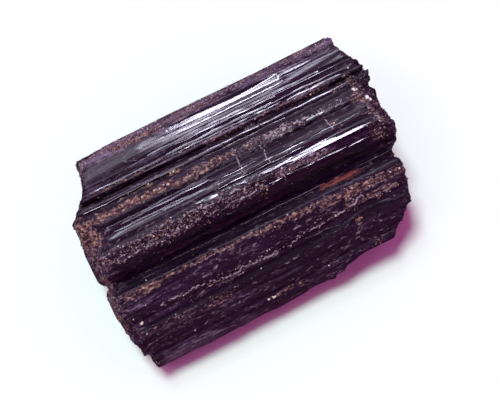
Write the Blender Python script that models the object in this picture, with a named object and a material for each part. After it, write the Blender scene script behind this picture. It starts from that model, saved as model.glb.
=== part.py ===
"""A single stubby crystal of black tourmaline, lying on one of its prism faces.

The crystal is one solid. Its long axis runs along X, its underside rests at z = 0 and the
origin is under the middle of it. Two prisms have grown side by side: a high rear one with a
gently arched top, and a low front one that slopes to the ground, with a deep groove between
them. Both are ribbed lengthwise. Both ends are broken across, and the edges are chipped.
"""

import math
import random

import bmesh
import bpy
from mathutils import Matrix, Vector, noise

MM = 0.001

# Driving dimensions, in millimetres. The ribbed skin is made a little too long, and the two
# breaks cut it to length.
SKIN_HALF_LENGTH = 27.0
RIB_LENGTHS = 27       # how many lengths each rib is made of
SECTION_WIDTH = 31.0
SECTION_HEIGHT = 25.0
RIB_WAVELENGTH = 8.0   # length over which a rib swells and fades
SWELL_HEIGHT = 0.22    # slow swelling of the whole surface
SWELL_LENGTH = 13.0
CLEAN_DISTANCE = 0.01  # corners closer than this are made one after the cuts
ROUGHNESS_SEED = 5     # for the bumps on the chips

# The outline of the cross-section, seen along the axis, as runs of long edges in order from the
# rear foot over the top to the front and back underneath. Each edge is (y, z, y shift, z shift),
# the shifts being how far it moves from the left end to the right. pitch is the rib spacing,
# relief the rib height, and pits the depth of the etched hollows.
RUNS = {
    "rear wall": {
        "pitch": 1.2,
        "relief": 0.34,
        "pits": 0.14,
        "edges": (
            (11.9, 1.2, 0.0, 0.0),
            (13.4, 3.5, 0.0, 0.3),
            (13.9, 5.2, 0.0, 0.0),
            (13.5, 5.6, 0.0, 0.0),
            (14.4, 7.6, 0.1, 0.0),
            (13.7, 8.5, 0.2, 0.0),
            (15.2, 9.6, 0.0, 0.0),
            (15.9, 12.6, -0.2, 0.3),
            (15.3, 13.4, -0.2, 0.3),
            (16.0, 14.6, -0.3, 0.2),
            (15.8, 16.6, -0.4, 0.2),
        ),
    },
    "rear shoulder and bright face": {
        "pitch": 0.72,
        "relief": 0.025,
        "pits": 0.0,
        "edges": (
            (15.4, 19.0, -0.5, 0.0),
            (14.6, 20.6, -0.7, 0.0),
            (13.3, 22.25, -0.8, 0.0),
            (12.0, 22.33, -0.5, 0.0),
            (10.4, 22.25, -0.3, 0.0),
        ),
    },
    "fine ribs above the narrow groove": {
        "pitch": 0.55,
        "relief": 0.12,
        "pits": 0.0,
        "edges": (
            (10.1, 22.1, -0.2, 0.0),
            (9.95, 22.45, -0.2, 0.0),
            (9.65, 22.47, -0.2, 0.0),
            (9.4, 22.3, -0.1, 0.0),
            (8.9, 23.0, -0.1, 0.0),
            (8.7, 23.2, -0.1, 0.0),
            (8.4, 23.22, -0.1, 0.0),
            (8.2, 23.05, -0.3, 0.0),
            (7.9, 23.75, -0.4, 0.0),
            (7.6, 23.75, -0.4, 0.0),
        ),
    },
    "narrow groove": {
        "pitch": 0.6,
        "relief": 0.04,
        "pits": 0.05,
        "edges": (
            (7.45, 22.0, -0.2, 0.8),
            (6.95, 22.1, -0.3, 0.8),
            (6.6, 23.6, -0.5, 0.2),
            (6.3, 23.75, -0.4, 0.1),
            (6.0, 23.75, -0.3, 0.1),
            (5.7, 23.3, -0.2, 0.1),
        ),
    },
    "crusted step": {
        "pitch": 0.62,
        "relief": 0.12,
        "pits": 0.2,
        "edges": (
            (4.8, 24.2, -0.1, 0.0),
            (3.9, 24.0, 0.0, 0.1),
            (3.1, 24.15, 0.0, 0.0),
            (2.7, 23.75, 0.0, 0.0),
        ),
    },
    "crown": {
        "pitch": 0.62,
        "relief": 0.04,
        "pits": 0.03,
        "edges": (
            (2.3, 25.05, 0.0, 0.0),
            (0.2, 24.7, 0.0, 0.0),
            (-0.2, 24.45, 0.0, 0.0),
            (-0.5, 24.75, 0.0, 0.0),
            (-1.55, 24.8, 0.0, 0.0),
            (-1.8, 24.4, 0.0, 0.0),
        ),
    },
    "brow over the deep groove": {
        "pitch": 0.62,
        "relief": 0.14,
        "pits": 0.22,
        "edges": (
            (-2.2, 23.6, 0.1, 0.1),
            (-2.4, 23.35, 0.1, 0.1),
            (-2.75, 23.3, 0.2, 0.1),
            (-3.3, 21.8, 0.5, 0.2),
            (-3.1, 18.8, 0.1, 0.0),
        ),
    },
    "deep groove": {
        "pitch": 0.65,
        "relief": 0.1,
        "pits": 0.1,
        "edges": (
            (-3.9, 17.3, -0.2, 0.0),
            (-4.6, 17.9, -0.2, 0.0),
            (-5.0, 17.4, -0.2, 0.0),
            (-6.1, 18.5, -0.5, 0.0),
        ),
    },
    "front prism, upper face": {
        "pitch": 0.7,
        "relief": 0.12,
        "pits": 0.12,
        "edges": (
            (-7.5, 17.7, -0.2, 0.0),
            (-9.5, 16.0, 0.0, 0.1),
            (-9.9, 14.9, 0.0, 0.1),
            (-11.3, 14.2, 0.0, 0.1),
            (-11.7, 14.6, 0.0, 0.1),
        ),
    },
    "front prism, lower face": {
        "pitch": 0.72,
        "relief": 0.2,
        "pits": 0.16,
        "edges": (
            (-12.4, 13.3, 0.1, 0.0),
            (-14.1, 10.8, 0.2, 0.0),
            (-14.2, 10.0, 0.2, 0.0),
            (-14.9, 9.6, 0.0, 0.0),
            (-15.6, 7.2, 0.0, 0.0),
            (-15.3, 3.4, 0.0, 0.0),
        ),
    },
    "underside": {
        "pitch": 1.6,
        "relief": 0.0,
        "pits": 0.0,
        "edges": (
            (-13.9, 1.2, 0.0, 0.0),
            (-12.6, 0.0, 0.0, 0.0),
            (-8.0, 0.0, 0.0, 0.0),
            (-7.4, 0.7, 0.0, 0.0),
            (-6.7, 0.0, 0.0, 0.0),
            (-1.2, 0.0, 0.0, 0.0),
            (-0.3, 1.0, 0.0, 0.0),
            (0.9, 0.5, 0.0, 0.0),
            (1.5, 0.0, 0.0, 0.0),
            (6.8, 0.0, 0.0, 0.0),
            (7.3, 0.5, 0.0, 0.0),
            (8.0, 0.0, 0.0, 0.0),
            (10.6, 0.0, 0.0, 0.0),
        ),
    },
}

# The ledge along the front prism wanders up and down its face: (x, rise) along the axis.
FRONT_LEDGE = {
    "y": -11.5,
    "reach": 3.4,  # how far from the ledge its neighbours still follow it
    "wander": (
        (-27, 0.0), (-18, 0.15), (-11, -0.2), (-4, 0.0), (4, -0.05),
        (10, 0.5), (15, 1.35), (19, 0.7), (27, 0.5),
    ),
}

# The two breaks, as the x they reach: across gives it by y, and down adds to it by z.
BREAKS = {
    "left": {
        "across": (
            (-18, -22.9), (-14.5, -23.2), (-13.0, -23.3), (-11.0, -23.6), (-7.0, -23.9), (-3.0, -24.3),
            (3.0, -24.4), (5.6, -24.3), (7.5, -23.8), (9.3, -21.9), (10.2, -20.5), (18, -18.9),
        ),
        "down": ((-2, 1.9), (0, 1.6), (4, 0.4), (8, -0.5), (12, -0.8), (19, -0.2), (26, 0.0)),
        "lumps": 0.5,
        "columns": 0.75,
        "seed": 3.1,
    },
    "right": {
        "across": (
            (-18, 21.0), (-10.0, 21.6), (-8.9, 22.0), (-6.0, 21.7), (-3.7, 22.6), (-1.8, 22.7), (0.1, 23.4),
            (1.5, 22.8), (4.5, 23.5), (7.8, 22.9), (9.9, 22.0), (11.3, 21.2), (18, 20.7),
        ),
        "down": ((-2, -1.6), (0, -1.4), (5, -0.3), (12, 0.1), (26, 0.0)),
        "lumps": 0.5,
        "columns": 0.9,
        "seed": 8.7,
    },
}
BREAK_GRID = 26     # squares across each break
LUMP_SIZE = 5.0     # size of the rounded lumps on the breaks
COLUMN_SIZE = 3.3   # size of the growth columns that snapped at different lengths

# Chips: each is a shallow dish. point is the middle of the broken face, normal looks out of it,
# and size is (length, height) of the piece that came away, whose edges are rounded.
CHIPS = {
    "left crown bevel": {"point": (-23.2, 2.2, 23.4), "normal": (-0.62, 0.05, 0.78), "size": (7.6, 5.6)},
    "right crown bevel": {"point": (21.9, 0.9, 22.2), "normal": (0.62, 0.1, 0.78), "size": (9.4, 7.6)},
    "right shoulder bevel": {"point": (21.5, 12.2, 21.1), "normal": (0.75, 0.45, 0.5), "size": (5.0, 4.0)},
    "cut front corner": {"point": (19.3, -12.4, 7.6), "normal": (1.0, -1.0, -0.2), "size": (15.0, 24.0)},
    "rear shoulder, left": {"point": (-19.8, 14.6, 17.8), "normal": (-0.1, 1.0, 0.5), "size": (15.0, 8.0)},
    "front foot, middle": {"point": (4.4, -15.35, 2.2), "normal": (0.0, -1.0, 0.0), "size": (9.0, 9.5)},
    "front foot, right": {"point": (19.4, -11.3, 2.2), "normal": (0.04, -1.0, -0.28), "size": (26.0, 17.0)},
    "rear foot, right": {"point": (14.0, 13.3, 1.0), "normal": (0.12, 1.0, -0.45), "size": (10.0, 6.5)},
    "rear wall, left": {"point": (-10.5, 15.2, 7.2), "normal": (0.05, 1.0, -0.2), "size": (9.0, 3.6)},
}
CHIP_DEPTH = 7.0       # how thick the piece that came away is
CHIP_ROUNDING = 0.55   # 0 is a brick and 1 an egg
CHIP_CUTS = 10
CHIP_ROUGHNESS = ((0.7, 5.0), (0.35, 1.9))  # height and wavelength of its bumps


def blend(low, high, share):
    """The value that lies this share of the way from low to high."""
    return low + (high - low) * share


def read_off(table, place):
    """The value at a place on a table of (place, value) pairs, in straight lines between them."""
    for (low, low_value), (high, high_value) in zip(table, table[1:]):
        if place <= high:
            return blend(low_value, high_value, max(0.0, (place - low) / (high - low)))
    return table[-1][1]


def section_rows():
    """Every lengthwise row of the surface: the stated edges, and the ribs spaced between them."""
    rng = random.Random(41)
    corners = [(run, edge) for run in RUNS.values() for edge in run["edges"]]
    rows = []
    for place, (run, edge) in enumerate(corners):
        following = corners[(place + 1) % len(corners)][1]
        gap = math.dist(edge[:2], following[:2])
        count = max(1, round(gap / run["pitch"]))
        for step in range(count):
            values = [blend(a, b, step / count) for a, b in zip(edge, following)]
            height = 0.0 if step == 0 else rng.uniform(-1.0, 1.0) * run["relief"]
            seed = rng.uniform(0.0, 90.0)
            rows.append({"values": values, "height": height, "pits": run["pits"], "seed": seed})
    for place, row in enumerate(rows):
        before = rows[place - 1]["values"]
        after = rows[(place + 1) % len(rows)]["values"]
        along = Vector((0.0, after[0] - before[0], after[1] - before[1])).normalized()
        row["outward"] = Vector((0.0, -along.z, along.y))
    return rows


def ledge_rise(x, y):
    """How far the wandering front ledge carries a point up the face."""
    nearness = max(0.0, 1.0 - abs(y - FRONT_LEDGE["y"]) / FRONT_LEDGE["reach"])
    return read_off(FRONT_LEDGE["wander"], x) * nearness


def skin_point(row, x):
    """A point of the ribbed skin."""
    y, z, shift_y, shift_z = row["values"]
    share = 0.5 + 0.5 * x / SKIN_HALF_LENGTH
    rise = ledge_rise(x, y) if z > 1.0 else 0.0
    point = Vector((x, y + shift_y * share + 0.95 * rise, z + shift_z * share + 0.3 * rise))
    fade = 0.6 + 0.7 * noise.noise(Vector((x / RIB_WAVELENGTH, row["seed"], 0.0)))
    height = row["height"] * fade
    height += SWELL_HEIGHT * noise.noise(point / SWELL_LENGTH + Vector((7.0, 2.0, 5.0)))
    pit = noise.noise(Vector((x / 2.4, point.y / 1.1, point.z / 1.1)))
    height -= row["pits"] * max(0.0, pit + 0.1) * 2.0
    resting = min(1.0, max(0.0, z / 2.0))  # the foot stays flat, so that the crystal lies still
    return point + row["outward"] * height * resting


def ribbed_skin():
    """The closed ribbed prism, still too long: a grid wrapped round the section, with flat ends."""
    rows = section_rows()
    bm = bmesh.new()
    bmesh.ops.create_grid(bm, x_segments=RIB_LENGTHS, y_segments=len(rows), size=SKIN_HALF_LENGTH)
    bm.verts.ensure_lookup_table()
    for index, vertex in enumerate(bm.verts):
        row = rows[(index // (RIB_LENGTHS + 1)) % len(rows)]
        vertex.co = skin_point(row, vertex.co.x)
    bmesh.ops.remove_doubles(bm, verts=bm.verts, dist=1e-5)
    bmesh.ops.holes_fill(bm, edges=bm.edges, sides=0)
    bmesh.ops.triangulate(bm, faces=bm.faces)
    bmesh.ops.recalc_face_normals(bm, faces=bm.faces)
    return bm


def break_reach(side, y, z):
    """The x that a broken end reaches at this place across the section."""
    reach = read_off(side["across"], y) + read_off(side["down"], z)
    place = Vector((y, z, side["seed"] * 10.0))
    reach += side["lumps"] * noise.noise(place / LUMP_SIZE)
    column = noise.voronoi(place / COLUMN_SIZE)[1][0]
    reach += side["columns"] * (noise.cell(column * 7.3) - 0.5)
    return reach


def break_body():
    """Everything between the two breaks: a slab whose left and right walls are the broken ends."""
    bm = bmesh.new()
    bmesh.ops.create_grid(bm, x_segments=BREAK_GRID, y_segments=BREAK_GRID, size=0.5)
    left = list(bm.verts)
    made = bmesh.ops.extrude_face_region(bm, geom=bm.faces[:], use_keep_orig=True)["geom"]
    right = [part for part in made if isinstance(part, bmesh.types.BMVert)]
    for side, vertices in ((BREAKS["left"], left), (BREAKS["right"], right)):
        for vertex in vertices:
            y = vertex.co.x * (SECTION_WIDTH + 6.0)
            z = vertex.co.y * (SECTION_HEIGHT + 6.0) + SECTION_HEIGHT / 2
            vertex.co = Vector((break_reach(side, y, z), y, z))
    bmesh.ops.triangulate(bm, faces=bm.faces)
    bmesh.ops.recalc_face_normals(bm, faces=bm.faces)
    return bm


def chip_body(chip):
    """The piece that came away where the crystal is chipped: a rough egg lying on the broken face."""
    bm = bmesh.new()
    bmesh.ops.create_cube(bm, size=1.0)
    bmesh.ops.subdivide_edges(bm, edges=bm.edges[:], cuts=CHIP_CUTS, use_grid_fill=True)
    for vertex in bm.verts:
        vertex.co = vertex.co.lerp(vertex.co.normalized() * 0.5, CHIP_ROUNDING)
    bmesh.ops.scale(bm, vec=(*chip["size"], CHIP_DEPTH), verts=bm.verts)
    lowest = min(vertex.co.z for vertex in bm.verts)
    bmesh.ops.translate(bm, vec=(0.0, 0.0, -lowest), verts=bm.verts)
    turn = Vector(chip["normal"]).to_track_quat("Z", "Y").to_matrix().to_4x4()
    bmesh.ops.transform(bm, matrix=Matrix.Translation(chip["point"]) @ turn, verts=bm.verts)
    for height, wavelength in CHIP_ROUGHNESS:
        for vertex in bm.verts:
            vertex.co += noise.noise_vector(vertex.co / wavelength) * height
    bmesh.ops.triangulate(bm, faces=bm.faces)
    bmesh.ops.recalc_face_normals(bm, faces=bm.faces)
    return bm


def object_from(bm, name):
    """A new object in the scene with this shape."""
    mesh = bpy.data.meshes.new(name)
    bm.to_mesh(mesh)
    bm.free()
    made = bpy.data.objects.new(name, mesh)
    bpy.context.scene.collection.objects.link(made)
    return made


def cut(crystal, cutter, operation):
    """Cuts the crystal with another body, which is then done with."""
    modifier = crystal.modifiers.new(cutter.name, "BOOLEAN")
    modifier.operation = operation
    modifier.object = cutter
    bpy.context.view_layer.update()
    depsgraph = bpy.context.evaluated_depsgraph_get()
    crystal.data = bpy.data.meshes.new_from_object(crystal.evaluated_get(depsgraph))
    crystal.modifiers.clear()
    bpy.data.objects.remove(cutter)


def finish(crystal):
    """Cleans up after the cuts, sets the origin under the middle and goes over to metres."""
    bm = bmesh.new()
    bm.from_mesh(crystal.data)
    bmesh.ops.dissolve_degenerate(bm, edges=bm.edges, dist=CLEAN_DISTANCE)
    bmesh.ops.triangulate(bm, faces=bm.faces)
    low = [min(vertex.co[axis] for vertex in bm.verts) for axis in range(3)]
    high = [max(vertex.co[axis] for vertex in bm.verts) for axis in range(3)]
    bmesh.ops.translate(bm, vec=(-(low[0] + high[0]) / 2, -(low[1] + high[1]) / 2, -low[2]), verts=bm.verts)
    bmesh.ops.scale(bm, vec=(MM, MM, MM), verts=bm.verts)
    bm.to_mesh(crystal.data)
    bm.free()
    crystal.data.name = crystal.name


def schorl():
    """Black, glassy tourmaline with a breath of violet."""
    material = bpy.data.materials.new("schorl")
    material.use_nodes = True
    shader = material.node_tree.nodes["Principled BSDF"]
    shader.inputs["Base Color"].default_value = (0.022, 0.012, 0.028, 1.0)
    shader.inputs["Roughness"].default_value = 0.32
    shader.inputs["Metallic"].default_value = 0.0
    shader.inputs["IOR"].default_value = 1.64
    return material


def main():
    for leftover in list(bpy.data.objects):
        bpy.data.objects.remove(leftover)
    noise.seed_set(ROUGHNESS_SEED)
    crystal = object_from(ribbed_skin(), "tourmaline_crystal")
    cut(crystal, object_from(break_body(), "breaks"), "INTERSECT")
    for name, chip in CHIPS.items():
        cut(crystal, object_from(chip_body(chip), name), "DIFFERENCE")
    finish(crystal)
    crystal.data.materials.append(schorl())


main()
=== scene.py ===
import math
import random

import bmesh
import bpy
import numpy as np
from mathutils import Euler, Matrix, Vector
from mathutils.bvhtree import BVHTree


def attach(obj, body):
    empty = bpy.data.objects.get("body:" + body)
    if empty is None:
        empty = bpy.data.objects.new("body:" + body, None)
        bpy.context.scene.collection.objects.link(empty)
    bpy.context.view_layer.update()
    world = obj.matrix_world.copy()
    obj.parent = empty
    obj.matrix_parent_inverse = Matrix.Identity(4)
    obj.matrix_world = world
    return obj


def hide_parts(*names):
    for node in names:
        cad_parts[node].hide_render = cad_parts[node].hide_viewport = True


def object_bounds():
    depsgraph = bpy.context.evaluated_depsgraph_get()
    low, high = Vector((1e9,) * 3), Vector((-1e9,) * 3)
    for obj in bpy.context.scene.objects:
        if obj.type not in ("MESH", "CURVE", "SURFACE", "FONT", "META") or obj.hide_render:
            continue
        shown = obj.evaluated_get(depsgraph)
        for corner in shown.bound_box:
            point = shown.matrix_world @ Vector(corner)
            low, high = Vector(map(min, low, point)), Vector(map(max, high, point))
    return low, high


# A stubby crystal of black tourmaline on a pale table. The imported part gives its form, and here
# it gets fine striae, etched skins, brown crust, grains and pale veins. X runs along the crystal.
# Lengths are in millimetres, and a finished mesh is scaled to metres.
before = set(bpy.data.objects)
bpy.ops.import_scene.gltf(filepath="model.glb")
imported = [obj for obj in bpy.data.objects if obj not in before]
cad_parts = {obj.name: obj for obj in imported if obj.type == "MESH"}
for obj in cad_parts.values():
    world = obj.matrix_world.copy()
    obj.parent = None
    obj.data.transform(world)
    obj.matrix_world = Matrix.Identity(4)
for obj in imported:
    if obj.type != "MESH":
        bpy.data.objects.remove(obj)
cadBounds = [list(corner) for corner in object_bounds()]
metre = 0.001

# A field holds one number for each of many points, and a seed moves its noise elsewhere
lowWord = np.uint64(0xFFFFFFFF)
farOff = 500.0                  # keeps the numbers of the noise's cells above 0
softEdge = 0.35                 # how softly a stroke ends, against its half width


def ramp(values, low, high):
    # from 0 at low to 1 at high, smoothly
    share = np.clip((values - low) / (high - low), 0.0, 1.0)
    return share * share * (3.0 - 2.0 * share)


def chance(cells, salt):
    # an even pseudo-random number from 0 to 1 for each whole-numbered cell
    x, y, z = (cells[..., axis].astype(np.uint64) for axis in range(3))
    mixed = x * np.uint64(0x9E3779B1) + y * np.uint64(0x85EBCA77) + z * np.uint64(0xC2B2AE3D)
    mixed = (mixed + np.uint64(salt * 668265263)) & lowWord
    mixed = ((mixed ^ (mixed >> np.uint64(15))) * np.uint64(0x2C1B3C6D)) & lowWord
    mixed = ((mixed ^ (mixed >> np.uint64(12))) * np.uint64(0x297A2D39)) & lowWord
    return (mixed ^ (mixed >> np.uint64(15))) / float(lowWord)


def corners(reach):
    # the whole-numbered steps around a cell, from the lower to the upper reach on each axis
    steps = range(reach[0], reach[1] + 1)
    return [np.array([x, y, z]) for x in steps for y in steps for z in steps]


def noiseField(points, size, seed):
    # smooth noise, about -1 to 1; size is its wavelength along x, y and z
    places = points / np.array(size) + farOff + 7.31 * seed
    cells = np.floor(places).astype(np.int64)
    inside = places - cells
    blend = inside ** 3 * (inside * (inside * 6.0 - 15.0) + 10.0)
    total = np.zeros(len(points))
    for corner in corners((0, 1)):
        weight = np.prod(np.where(corner, blend, 1.0 - blend), axis=1)
        away = inside - corner
        slope = np.zeros(len(points))
        for axis in range(3):
            slope += (chance(cells + corner, axis + 1) * 2.0 - 1.0) * away[:, axis]
        total += weight * slope
    return np.clip(total * 1.6, -1.0, 1.0)      # the bare sum seldom passes 0.6


def ridgeField(points, size, seed):
    # crests at 1 with wide hollows between them
    return 1.0 - 2.0 * np.abs(noiseField(points, size, seed))


def grainField(points, size, seed):
    # 0 in the middle of each grain, about 1 between grains
    places = points / np.array(size) + farOff + 3.7 * seed
    cells = np.floor(places).astype(np.int64)
    nearest = np.full(len(points), 9.0)
    for corner in corners((-1, 1)):
        near = cells + corner
        middle = near + np.column_stack([chance(near, axis + 5) for axis in range(3)])
        nearest = np.minimum(nearest, ((places - middle) ** 2).sum(axis=1))
    return np.sqrt(nearest)


def layered(points, layers):
    # smooth noises added up, each (share, wavelengths, seed)
    total = np.zeros(len(points))
    for share, size, seed in layers:
        total += share * noiseField(points, size, seed)
    return total


def awayFrom(points, start, end):
    # distance of each point from a straight line, seen from above
    begin = np.array(start)
    run = np.array(end) - begin
    share = np.clip((points[:, :2] - begin) @ run / (run @ run), 0.0, 1.0)
    return np.linalg.norm(points[:, :2] - begin - share[:, None] * run, axis=1)


def strokeField(points, strokes, wobble):
    # how strongly each point is covered by strokes, whose edges the wobble moves in and out
    field = np.zeros(len(points))
    for strength, half, start, end in strokes:
        inside = half * (1.0 + wobble) - awayFrom(points, start, end)
        field = np.maximum(field, strength * ramp(inside, -softEdge * half, softEdge * half))
    return field


def hollowField(points, strokes):
    # how deep each point lies in narrow V-shaped hollows
    field = np.zeros(len(points))
    for depth, half, start, end in strokes:
        field = np.maximum(field, depth * np.clip(1.0 - awayFrom(points, start, end) / half, 0.0, 1.0))
    return field


crystal = {
    "name": "striated_tourmaline",
    "node": "tourmaline_crystal",
    "merge": 0.002,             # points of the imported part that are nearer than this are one
    # longest facet edge across and along the crystal, in each kind of place
    "facets": {
        "striated": (0.24, 1.9), "rough": (0.25, 0.30), "back": (0.70, 3.5), "break": (0.60, 0.60),
    },
    "sweeps": 24,
    "mostFacets": 108000,
    # relief: its rise, its wavelengths along x, y and z, and its noise's seed
    "wander": (0.10, (15.0, 1.7, 1.7), 31.0),
    "striae": ((0.045, (18.0, 1.1, 1.1), 0.5), (0.030, (12.0, 0.6, 0.6), 5.5)),
    "terraces": ((0.12, (15.0, 1.5, 1.5), 2.0), (0.07, (8.0, 0.85, 0.85), 9.0)),
    "hairs": ((0.012, (8.0, 0.33, 0.33), 41.0),),
    # grains and lumps: their rise, size and seed
    "etched": ((0.20, 0.72, 4.0), (0.12, 0.42, 5.0)),
    "crust": (0.18, 0.42, 9.0),
    "breakLumps": ((0.30, 3.1, 13.0), (0.16, 1.1, 14.0), (0.09, 0.55, 15.0)),
    "stretch": {"etched": 1.3, "crust": 1.4},       # of the grains, along the crystal
    "terraceEdge": 0.35,        # half of a terrace's edge, as a share of its noise
    "polishedShare": 0.06,      # how much of the relief is left on glassy faces
    "calm": 0.85,               # how much of the wander glassy faces lose
    "foot": (0.05, 1.2),        # heights between which the relief grows to its full rise
    "sharpAngle": 28.0,
}
finishSpread = {
    # noises that move the strokes' edges: share, wavelengths, seed
    "wobble": ((0.55, (1.6, 0.7, 0.7), 3.0), (0.35, (0.5, 0.35, 0.35), 8.0)),
    "streaks": ((0.5, (14.0, 0.8, 0.8), 6.0),),     # glassy patches end in long streaks
    "patches": ((1.0, (6.0, 2.0, 2.0), 21.0),),     # on the breaks, the back and the low flanks
    # where each kind of place begins and is full
    "fromAbove": (-0.25, 0.0),                      # by the normal's z
    "hollowed": (0.0, 0.3),                         # by the normal's z
    "breaks": (0.35, 0.75),                         # by the normal's x, either way
    "back": (12.8, 14.5),                           # by y
    "flanks": (-9.0, -5.0),                         # by minus the height
    "patchEdge": (0.15, 0.6),
    "patchWobble": 0.4,
    # how strong the finishes are there
    "crustPatches": 0.6, "etchedBreaks": 0.7, "dustAndBounceBreaks": 0.35, "outerPatches": 0.3,
}

# Finishes are laid in strokes, seen from above: (strength, half width, start, end).
# polish: glassy faces; etched: frosted skin; crust: brown and orange crumbs; rust: red-brown stains;
# pale: silvery lace on grains, and on the front prism's ledge partly a painted glint; the mauve skin:
# dust, and along the back rim and the bottom strip also painted bounce light from the table
polishStrokes = (
    (0.15, 1.3, (-21.5, 11.25), (-10.5, 11.2)),      # bright face behind
    (0.6, 1.3, (-10.5, 11.2), (-7.0, 11.2)),
    (1.0, 1.0, (-7.0, 11.5), (12.2, 11.45)),
    (0.5, 0.6, (-7.0, 10.6), (12.2, 10.6)),
    (0.50, 1.3, (12.6, 11.2), (21.8, 11.1)),
    (0.8, 0.25, (12.4, 11.75), (17.5, 11.7)),
    (0.5, 0.6, (-19.0, 8.1), (-9.0, 8.0)),           # fine ribs
    (0.7, 0.7, (-9.0, 8.1), (12.0, 8.0)),
    (0.4, 0.7, (12.0, 8.0), (20.5, 7.9)),
    (0.75, 0.4, (-9.0, 9.5), (20.5, 9.5)),
    (0.3, 0.2, (-22.0, 5.75), (20.5, 5.7)),
    (0.66, 0.85, (-21.5, 1.2), (-13.0, 1.1)),         # grey striated face, left
    (0.82, 0.85, (-13.0, 1.0), (-4.6, 0.9)),
    (1.0, 0.25, (-6.4, -0.95), (-4.3, -0.98)),
    (0.7, 0.3, (-15.0, -0.85), (-6.5, -0.95)),
    (0.85, 0.4, (-4.0, -1.15), (7.0, -1.2)),
    (1.0, 0.6, (7.6, -1.2), (20.3, -1.45)),          # second bright streak
    (0.6, 0.35, (4.5, -2.1), (14.0, -2.1)),
    (0.9, 0.3, (3.3, -2.65), (19.7, -2.8)),
    (0.45, 1.6, (-20.0, -4.4), (21.0, -4.5)),        # deep groove
)
etchedStrokes = (
    (1.0, 0.95, (-22.6, -2.1), (1.8, -2.15)),        # frosted brow over the groove
    (0.6, 0.5, (-22.0, -0.6), (-8.0, -1.2)),
    (0.8, 0.9, (6.8, 3.8), (12.0, 3.7)),
    (0.7, 0.5, (12.3, 3.7), (20.5, 3.6)),
    (0.8, 0.9, (-23.0, 3.9), (6.0, 3.7)),
    (0.6, 0.3, (4.8, -2.15), (13.4, -2.2)),
    (0.9, 1.6, (22.0, 5.5), (22.5, -2.5)),
    (0.8, 1.4, (-24.0, 0.5), (-23.8, -3.0)),
    (0.6, 0.9, (-20.0, 13.2), (-4.0, 13.0)),
    (0.5, 0.5, (13.5, 7.2), (20.5, 7.0)),
)
crustStrokes = (
    (1.0, 0.62, (-18.8, 3.9), (-9.2, 3.9)),          # orange-brown band on the step
    (0.8, 0.6, (-22.6, 4.1), (-19.0, 4.0)),
    (0.75, 0.5, (-9.0, 3.5), (-6.5, 3.4)),
    (0.7, 0.6, (-5.5, 3.7), (0.4, 3.6)),
    (0.6, 0.3, (-9.5, 2.95), (-4.0, 2.9)),
    (0.45, 0.5, (0.5, 3.6), (6.0, 3.6)),
    (0.95, 0.9, (-23.6, 4.6), (-22.6, 1.2)),         # left bevel
    (0.5, 0.9, (-23.4, 1.0), (-23.6, -2.6)),
    (0.5, 0.22, (-21.0, 5.35), (-8.0, 5.35)),
    (0.9, 0.35, (-12.4, 5.5), (-12.1, 5.5)),
    (0.9, 0.4, (-8.6, 5.5), (-7.6, 5.5)),
    (0.5, 0.3, (-0.5, 5.4), (1.5, 5.4)),
    (0.6, 0.35, (17.8, 5.4), (19.6, 5.4)),
    (0.55, 0.35, (-20.0, 7.7), (-12.0, 7.7)),
    (0.8, 0.5, (-14.6, 13.1), (-7.4, 12.8)),         # back rim
    (0.55, 0.4, (-7.0, 13.1), (3.0, 12.9)),
    (0.4, 0.6, (-20.5, 14.0), (-13.5, 13.8)),
    (0.80, 0.26, (-22.4, -6.7), (-1.5, -6.95)),      # crest of the front prism
    (0.80, 0.45, (-22.2, -7.1), (-17.5, -7.2)),
    (0.45, 0.3, (-2.0, 7.1), (18.0, 7.0)),
    (0.5, 0.25, (-21.0, 7.9), (-8.5, 7.9)),
    (0.80, 0.26, (-1.5, -7.0), (9.6, -7.1)),
    (0.60, 0.40, (-1.0, -7.4), (3.4, -7.5)),
    (0.55, 0.35, (5.0, -7.5), (8.2, -7.6)),
    (0.75, 0.7, (9.6, -7.5), (22.6, -8.1)),
    (0.6, 0.4, (13.0, -9.2), (21.0, -9.3)),
    (0.5, 0.45, (-13.0, -12.5), (-8.0, -12.8)),      # low brown patches
    (0.4, 0.2, (-23.0, -11.95), (-4.0, -12.0)),
    (0.6, 0.55, (13.7, -11.4), (14.2, -11.4)),
    (0.5, 0.35, (-3.5, -14.9), (3.0, -15.0)),
    (0.5, 0.4, (15.4, -14.7), (17.0, -14.7)),
    (0.8, 0.35, (15.5, 0.9), (16.0, 0.8)),
    (0.55, 0.6, (20.8, 6.8), (21.4, 4.6)),           # chipped right rim
    (0.7, 0.8, (20.2, 3.0), (21.2, 2.4)),
    (0.6, 0.7, (20.3, -2.2), (21.0, -2.8)),
    (0.5, 0.9, (-24.0, -4.0), (-24.2, -9.0)),
)
rustStrokes = (
    (1.0, 0.42, (10.9, -5.3), (16.9, -5.45)),        # rust in the groove
    (0.7, 0.3, (14.5, -6.1), (17.5, -6.0)),
    (0.45, 0.4, (-22.0, 4.0), (-9.0, 3.9)),
    (0.4, 0.35, (2.0, -5.9), (11.0, -6.0)),
    (0.5, 0.3, (20.3, 3.1), (20.9, 2.7)),
)
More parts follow.
